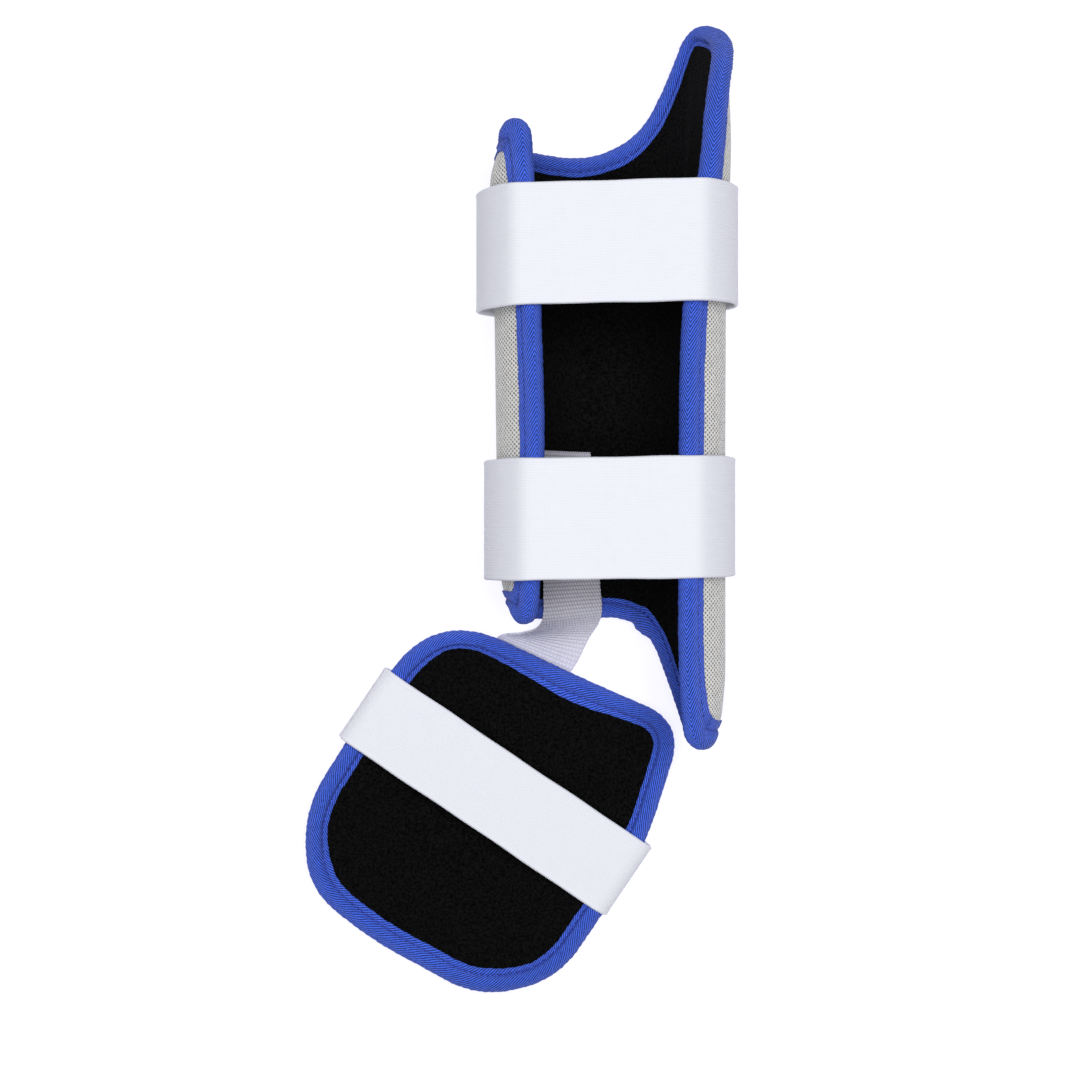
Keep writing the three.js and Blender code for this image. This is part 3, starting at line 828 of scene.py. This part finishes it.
def instep_strap_line(sizes):
    """The strap over the instep pad: straight across, round both edges and some way back under the pad."""
    clear = 0.0002
    wrap = sizes.pad_half + sizes.layer_gap + clear + sizes.instep_strap_thick / 2
    radius = sizes.instep_radius
    axis = np.array([0, radius + sizes.pad_half - sizes.instep_pressed])
    turn = np.arcsin(sizes.instep_strap_edge / radius) - sizes.nose / radius
    nose = axis + radius * np.array([np.sin(turn), -np.cos(turn)])
    under = turn - sizes.instep_strap_under / radius
    right = np.vstack([
        arc(nose, wrap, np.pi / 2, turn - np.pi / 2),
        arc(axis, radius + wrap, turn - np.pi / 2, under - np.pi / 2)[1:],
    ])
    return mirrored_line(right, count=221)


def smooth_rows(rows, part):
    """A smooth curve through rows of numbers at shares from 0 to 1: the Catmull-Rom cubic between pairs."""
    rows = np.asarray(rows, float)
    padded = np.vstack([2 * rows[:1] - rows[1:2], rows, 2 * rows[-1:] - rows[-2:-1]])
    at = np.clip(part * (len(rows) - 1), 0, len(rows) - 1 - 1e-9)
    k = np.floor(at).astype(int)
    t = (at - k)[:, None]
    a, b, c, d = (padded[k + i] for i in range(4))
    square = 2 * a - 5 * b + 4 * c - d
    cube = 3 * b - a - 3 * c + d
    return 0.5 * (2 * b + (c - a) * t + square * t ** 2 + cube * t ** 3)


def webbing_grids(sizes, along_count=420, across_count=84):
    """The webbing between its two long edges, bowed between them, with staggered rows of woven bumps on both
    faces, lower where it is fanned out, and borders that step in between the rows."""
    part = np.linspace(1, 0, along_count)
    left = smooth_rows([row.left for row in WEBBING_ROWS], part)
    right = smooth_rows([row.right for row in WEBBING_ROWS], part)
    bow = smooth_rows([[row.bow] for row in WEBBING_ROWS], part)
    run = distance_along((left + right) / 2)
    width = np.linalg.norm(right - left, axis=1).mean()
    row_wave = np.sin(np.pi * run / sizes.webbing_row)
    across = np.linspace(0, 1, across_count)[None, :, None]
    deepest_step = 0.00022
    step_in = (deepest_step / width) * (1 - np.abs(row_wave))[:, None, None]
    share = step_in + across * (1 - 2 * step_in)
    side = unit(right - left)
    down = unit(np.stack([side[:, 2], 0 * side[:, 0], -side[:, 0]], -1))
    middle = mix(left[:, None], right[:, None], share)
    middle = middle + down[:, None] * bow[:, None] * 4 * share * (1 - share)
    normal = unit(np.cross(np.gradient(middle, axis=1), np.gradient(middle, axis=0)))
    v = (across[..., 0] - 0.5) * width
    bump_wave = np.sin(np.pi * (v / sizes.webbing_rib + 0.5 * run[:, None] / sizes.webbing_row))
    bumps = row_wave[:, None] * bump_wave
    fanned, low_bump = 0.25, 0.5
    strength = mix(fanned, 1, smoothstep(run, sizes.webbing_fan, sizes.webbing_close))[:, None]
    relief = np.sqrt(np.abs(bumps)) * np.where(bumps > 0, 1, low_bump) * strength
    thin_border, ground = 0.08, 0.70
    from_border = (0.5 - np.abs(across[..., 0] - 0.5)) * width
    border = np.maximum(border_round(from_border, sizes.webbing_thick / 2), thin_border)
    rise = normal * (sizes.webbing_thick / 2 * border * mix(ground, 1, relief))[..., None]
    middle = middle + shin_origin()
    lower = middle - rise
    floor_room = 0.0002
    lower[..., 2] = np.maximum(lower[..., 2], floor_room)
    pattern = np.stack(np.broadcast_arrays(run[:, None], v), -1)
    return middle + rise, lower, pattern


class Weave:
    """Writes a material's pattern as sums over its surface: each call adds a node and returns its output."""

    def __init__(self, name, roughness, sheen):
        self.material = bpy.data.materials.new(name)
        self.material.use_nodes = True
        self.nodes = self.material.node_tree.nodes
        self.links = self.material.node_tree.links
        self.shader = self.nodes["Principled BSDF"]
        self.shader.inputs["Roughness"].default_value = roughness
        self.shader.inputs["Sheen Weight"].default_value = sheen
        self.shader.inputs["Sheen Roughness"].default_value = 0.5
        self.shader.inputs["Specular IOR Level"].default_value = 0.3

    def put(self, value, socket):
        """Feeds a number or another node's output into a socket."""
        if isinstance(value, bpy.types.NodeSocket):
            self.links.new(value, socket)
        else:
            socket.default_value = value

    def math(self, operation, *terms):
        """One step of arithmetic on numbers and outputs."""
        node = self.nodes.new("ShaderNodeMath")
        node.operation = operation
        for term, socket in zip(terms, node.inputs):
            self.put(term, socket)
        return node.outputs[0]

    def scaled(self, value, gain, base):
        """A value times a gain, plus a base."""
        return self.math("MULTIPLY_ADD", value, gain, base)

    def wave(self, place, spacing):
        """A sine with one half wave in each spacing."""
        return self.math("SINE", self.math("MULTIPLY", place, np.pi / spacing))

    def ramp(self, place, low, high):
        """0 below low and 1 above high, with an S-shaped rise between."""
        node = self.nodes.new("ShaderNodeMapRange")
        node.interpolation_type = "SMOOTHSTEP"
        node.inputs["From Min"].default_value = low
        node.inputs["From Max"].default_value = high
        self.put(place, node.inputs["Value"])
        return node.outputs[0]

    def pattern_place(self):
        """Distance along and across the cloth."""
        uv = self.nodes.new("ShaderNodeUVMap")
        uv.uv_map = "pattern"
        split = self.nodes.new("ShaderNodeSeparateXYZ")
        self.links.new(uv.outputs[0], split.inputs[0])
        return split.outputs[0], split.outputs[1]

    def noise(self, size, detail=2.0):
        """Uneven values from 0 to 1 whose blotches are about one size."""
        node = self.nodes.new("ShaderNodeTexNoise")
        place = self.nodes.new("ShaderNodeTexCoord")
        self.links.new(place.outputs["Object"], node.inputs["Vector"])
        node.inputs["Scale"].default_value = 1 / size
        node.inputs["Detail"].default_value = detail
        return node.outputs[0]

    def plain_weave(self, along_place, across_place, along_step, across_step):
        """Threads that pass over and under each other: the higher of warp and weft, from 0 to 1."""
        warp = self.wave(along_place, along_step)
        weft = self.wave(across_place, across_step)
        crossing = self.math("MULTIPLY", warp, weft)
        warp_top = self.math("ADD", self.math("ABSOLUTE", warp), crossing)
        weft_top = self.math("SUBTRACT", self.math("ABSOLUTE", weft), crossing)
        return self.math("MULTIPLY", self.math("MAXIMUM", warp_top, weft_top), 0.5)

    def paint(self, share, dark, light):
        """Base colour from dark to light by a share."""
        node = self.nodes.new("ShaderNodeMix")
        node.data_type = "RGBA"
        node.inputs["A"].default_value = (*dark, 1.0)
        node.inputs["B"].default_value = (*light, 1.0)
        self.put(share, node.inputs["Factor"])
        self.links.new(node.outputs["Result"], self.shader.inputs["Base Color"])

    def raise_by(self, height, distance):
        """Relief of the surface: height from 0 to 1 over a distance in metres."""
        node = self.nodes.new("ShaderNodeBump")
        node.inputs["Distance"].default_value = distance
        self.put(height, node.inputs["Height"])
        self.links.new(node.outputs[0], self.shader.inputs["Normal"])


def outer_cloth_material(sizes, colours):
    """Coarse grey mesh whose small dark holes sit in staggered rows."""
    weave = Weave("mesh_cloth", roughness=0.5, sheen=0.1)
    round_place, along_place = weave.pattern_place()
    staggered = weave.math("MULTIPLY", weave.wave(round_place, sizes.mesh_round),
                           weave.wave(along_place, sizes.mesh_along))
    holes = weave.math("MAXIMUM", staggered, 0.0)
    worn = weave.scaled(weave.noise(size=0.0017, detail=3.0), gain=0.8, base=0.55)
    share = weave.math("SUBTRACT", worn, holes)
    weave.paint(share, colours.cloth_dark, colours.cloth_light)
    weave.raise_by(weave.math("SUBTRACT", 1.0, holes), distance=0.0005)
    return weave.material


def lining_material(sizes, colours):
    """Black brushed lining with short matt fibres."""
    weave = Weave("brushed_lining", roughness=0.95, sheen=0.02)
    weave.shader.inputs["Specular IOR Level"].default_value = 0.05
    fibres = weave.scaled(weave.noise(size=0.0011, detail=4.0), gain=3.0, base=-1.0)
    weave.paint(fibres, colours.lining_dark, colours.lining_light)
    weave.raise_by(fibres, distance=0.0004)
    return weave.material


def tape_material(sizes, colours):
    """Blue herringbone twill: slanting ridges that lean the other way past the spine of the tape."""
    weave = Weave("twill_tape", roughness=0.75, sheen=0.08)
    along_place, across_place = weave.pattern_place()
    from_spine = weave.math("ABSOLUTE", weave.math("SUBTRACT", across_place, sizes.twill_spine))
    lean = weave.math("MULTIPLY", from_spine, sizes.twill_lean)
    most_waver = 0.6 * sizes.twill
    waver = weave.math("MULTIPLY", weave.noise(size=0.005), most_waver)
    slant = weave.math("ADD", weave.math("SUBTRACT", along_place, lean), waver)
    ridges = weave.math("ABSOLUTE", weave.wave(slant, sizes.twill))
    uneven = weave.scaled(weave.noise(size=0.0013, detail=3.0), gain=0.7, base=-0.35)
    share = weave.math("ADD", ridges, uneven)
    weave.paint(share, colours.tape_dark, colours.tape_light)
    weave.raise_by(ridges, distance=0.0005)
    return weave.material


def thread_material(sizes, colours):
    """Sewing thread with a slight twist of light and shade."""
    weave = Weave("sewing_thread", roughness=0.6, sheen=0.1)
    shade = 0.5
    dark = [shade * channel for channel in colours.thread]
    weave.paint(weave.noise(size=0.0005), dark, colours.thread)
    return weave.material


def elastic_material(sizes, colours):
    """White ribbed elastic: fine ribs across its run and finer threads along it."""
    weave = Weave("ribbed_elastic", roughness=0.6, sheen=0.05)
    along_place, across_place = weave.pattern_place()
    thread_step = 1.3 * sizes.elastic_rib
    threads = weave.plain_weave(along_place, across_place, sizes.elastic_rib, thread_step)
    contrast = 0.9
    uneven = weave.noise(size=0.004)
    share = weave.scaled(uneven, gain=0.35, base=weave.math("MULTIPLY", threads, contrast))
    weave.paint(share, colours.elastic_dark, colours.elastic_light)
    weave.raise_by(threads, distance=0.0001)
    return weave.material


def webbing_material(sizes, colours):
    """Pale webbing whose staggered rows of bumps are lighter than the gaps between them, and even where it
    is fanned out."""
    weave = Weave("woven_webbing", roughness=0.55, sheen=0.05)
    along_place, across_place = weave.pattern_place()
    rows = weave.wave(along_place, sizes.webbing_row)
    stagger = weave.math("MULTIPLY", along_place, 0.5 * sizes.webbing_rib / sizes.webbing_row)
    ribs = weave.wave(weave.math("ADD", across_place, stagger), sizes.webbing_rib)
    bumps = weave.math("ABSOLUTE", weave.math("MULTIPLY", rows, ribs))
    tight = weave.ramp(along_place, sizes.webbing_fan, sizes.webbing_close)
    fanned_tone, fullness = 0.72, 0.6
    smooth = weave.math("MULTIPLY", weave.math("SUBTRACT", 1.0, tight), fanned_tone)
    shown = weave.math("MAXIMUM", weave.math("POWER", bumps, fullness), smooth)
    share = weave.scaled(weave.noise(size=0.002), gain=0.3, base=shown)
    weave.paint(share, colours.webbing_dark, colours.webbing_light)
    weave.raise_by(bumps, distance=0.0003)
    return weave.material


def floor_material(colours):
    """Plain pale floor that is lit a little from within, as a light table is."""
    weave = Weave("pale_floor", roughness=0.9, sheen=0.0)
    weave.shader.inputs["Base Color"].default_value = (*colours.floor, 1.0)
    weave.shader.inputs["Emission Color"].default_value = (*colours.floor_glow, 1.0)
    weave.shader.inputs["Emission Strength"].default_value = 1.0
    return weave.material


def finish(name, make, scene):
    """A material by name, made once."""
    return bpy.data.materials.get(name) or make(scene.guard_sizes, scene.guard_colours)


def doubled_tape(outline, sizes):
    """Where tape lies double on the edge of the shin panel: place round the loop, length and height."""
    for lump in TAPE_LUMPS:
        spot = (np.radians(lump.turn) * sizes.shin_radius, lump.height)
        yield nearest_part(outline, spot), lump.span, lump.rise


class PadPanels(bpy.types.Operator):
    """Make the padded outer layers and linings of the shin panel and the instep pad"""
    bl_idname = "foot_guard.pad_panels"
    bl_label = "Padded Panels"

    def execute(self, context):
        scene = context.scene
        sizes = scene.guard_sizes
        cloth = finish("mesh_cloth", outer_cloth_material, scene)
        lining = finish("brushed_lining", lining_material, scene)
        shin = panel_pattern(shin_corners(sizes), SHIN_CORNERS, sizes, columns=80, rows=72)
        instep = panel_pattern(instep_corners(sizes), INSTEP_CORNERS, sizes, columns=48, rows=44)
        pads = (("shin", shin_trough(sizes), shin), ("instep", instep_trough(sizes), instep))
        for part, trough, panel in pads:
            outer = make_layer(f"{part}_outer_pad", trough, panel, sizes, 1, cloth)
            inner = make_layer(f"{part}_inner_pad", trough, panel, sizes, -1, lining)
            dress(outer, f"{part}_cover")
            dress(inner, f"{part}_lining")
        return {"FINISHED"}


class BindEdges(bpy.types.Operator):
    """Fold and sew the binding over the edges of both panels"""
    bl_idname = "foot_guard.bind_edges"
    bl_label = "Binding"

    def execute(self, context):
        scene = context.scene
        sizes = scene.guard_sizes
        tape = finish("twill_tape", tape_material, scene)
        thread = finish("sewing_thread", thread_material, scene)
        shin_edge = shin_outline(sizes)
        edges = (
            ("shin", shin_trough(sizes), shin_edge, 900, shin_lap, doubled_tape(shin_edge, sizes)),
            ("instep", instep_trough(sizes), instep_outline(sizes), 420, instep_lap, ()),
        )
        for part, trough, outline, rings, widen, lumps in edges:
            binding = make_binding(f"{part}_edge_tape", trough, outline, sizes, rings, widen, lumps, tape)
            dress(binding, f"{part}_binding")
            seam = sew_binding(f"{part}_edge_seam", trough, outline, sizes, widen, thread)
            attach(seam, "root")
        return {"FINISHED"}


class FitStraps(bpy.types.Operator):
    """Lay the elastic straps round the shin panel and the instep pad"""
    bl_idname = "foot_guard.fit_straps"
    bl_label = "Elastic Straps"

    def execute(self, context):
        scene = context.scene
        sizes = scene.guard_sizes
        elastic = finish("ribbed_elastic", elastic_material, scene)
        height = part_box("shin_binding")[1].z
        origin = shin_origin()
        for strap in SHIN_STRAPS:
            line, span = shin_strap_line(strap, sizes, height)
            middle = origin + (strap.aside, strap.height, 0.0)
            grids = band_slab(line, span, sizes.strap_width, sizes.strap_thick, strap.skew,
                              lambda points: closed_in(points, strap, sizes) + middle)
            band = slab_piece(strap.name, grids, elastic)
            dress(band, strap.node)
        line, span = instep_strap_line(sizes)
        trough = instep_trough(sizes)
        ahead = (0.0, sizes.instep_strap_ahead, 0.0)
        grids = band_slab(line, span, sizes.instep_strap_width, sizes.instep_strap_thick, 0.0,
                          lambda points: trough.place(points + ahead), columns_across=48)
        band = slab_piece("instep_elastic", grids, elastic)
        dress(band, "instep_strap")
        return {"FINISHED"}


class LayWebbing(bpy.types.Operator):
    """Lay the webbing that links the shin panel and the instep pad"""
    bl_idname = "foot_guard.lay_webbing"
    bl_label = "Link Webbing"

    def execute(self, context):
        scene = context.scene
        sizes = scene.guard_sizes
        webbing = finish("woven_webbing", webbing_material, scene)
        grids = webbing_grids(sizes)
        band = slab_piece("link_web", grids, webbing)
        dress(band, "link_webbing")
        run, across = np.moveaxis(grids[2], -1, 0)
        return {"FINISHED"}


class SetStage(bpy.types.Operator):
    """Set the floor, the soft light and the camera straight above"""
    bl_idname = "foot_guard.set_stage"
    bl_label = "Stage"

    def execute(self, context):
        scene = context.scene
        stage = scene.guard_stage
        corners = np.array([[-1, -1, 0], [1, -1, 0], [1, 1, 0], [-1, 1, 0]]) * stage.floor_half
        floor = make_piece("floor", corners, np.arange(4)[None], floor_material(scene.guard_colours))
        floor.location.z = -stage.floor_drop
        self.light(scene, stage)
        self.aim(scene, stage)
        return {"FINISHED"}

    def light(self, scene, stage):
        """A dim even sky that looks pale itself, and one large lamp overhead."""
        world = bpy.data.worlds.new("even_sky")
        world.use_nodes = True
        nodes, links = world.node_tree.nodes, world.node_tree.links
        lit = nodes["Background"]
        seen = nodes.new("ShaderNodeBackground")
        for sky, strength in ((lit, stage.sky), (seen, stage.backdrop)):
            sky.inputs["Color"].default_value = (1.0, 1.0, 1.0, 1.0)
            sky.inputs["Strength"].default_value = strength
        ray = nodes.new("ShaderNodeLightPath")
        both = nodes.new("ShaderNodeMixShader")
        links.new(ray.outputs["Is Camera Ray"], both.inputs[0])
        links.new(lit.outputs[0], both.inputs[1])
        links.new(seen.outputs[0], both.inputs[2])
        links.new(both.outputs[0], nodes["World Output"].inputs[0])
        scene.world = world
        lamp = bpy.data.lights.new("soft_lamp", "AREA")
        lamp.size = stage.lamp_size
        lamp.energy = stage.lamp_power
        holder = bpy.data.objects.new("soft_lamp", lamp)
        holder.location = (stage.lamp_aside, stage.lamp_ahead, stage.lamp_height)
        scene.collection.objects.link(holder)
        scene.view_settings.view_transform = "Standard"

    def aim(self, scene, stage):
        """A camera straight above the middle of the picture."""
        camera = bpy.data.cameras.new("camera")
        camera.lens = camera.sensor_width * stage.camera_height / stage.frame_width
        holder = bpy.data.objects.new("camera", camera)
        holder.location = shin_origin() + (stage.frame_aside, 0.0, stage.camera_height)
        scene.collection.objects.link(holder)
        scene.camera = holder


class GuardPanel(bpy.types.Panel):
    """Lists the steps that build the foot guard"""
    bl_idname = "VIEW3D_PT_foot_guard"
    bl_label = "Foot Guard"
    bl_space_type = "VIEW_3D"
    bl_region_type = "UI"
    bl_category = "Foot Guard"

    def draw(self, context):
        for step in STEPS:
            self.layout.operator(step.bl_idname)
        for group in ("guard_sizes", "guard_colours", "guard_stage"):
            settings = getattr(context.scene, group)
            box = self.layout.box()
            for name in settings.bl_rna.properties.keys():
                if name not in {"rna_type", "name"}:
                    box.prop(settings, name)


STEPS = (PadPanels, BindEdges, FitStraps, LayWebbing, SetStage)
SETTINGS = {"guard_sizes": GuardSizes, "guard_colours": GuardColours, "guard_stage": GuardStage}


def register():
    for settings in SETTINGS.values():
        bpy.utils.register_class(settings)
    for name, settings in SETTINGS.items():
        setattr(bpy.types.Scene, name, PointerProperty(type=settings))
    for shown in (*STEPS, GuardPanel):
        bpy.utils.register_class(shown)


def unregister():
    for shown in (GuardPanel, *reversed(STEPS)):
        bpy.utils.unregister_class(shown)
    for name, settings in SETTINGS.items():
        delattr(bpy.types.Scene, name)
        bpy.utils.unregister_class(settings)


def main():
    register()
    bpy.ops.foot_guard.pad_panels()
    bpy.ops.foot_guard.bind_edges()
    bpy.ops.foot_guard.fit_straps()
    bpy.ops.foot_guard.lay_webbing()
    bpy.ops.foot_guard.set_stage()


if __name__ == "__main__":
    main()
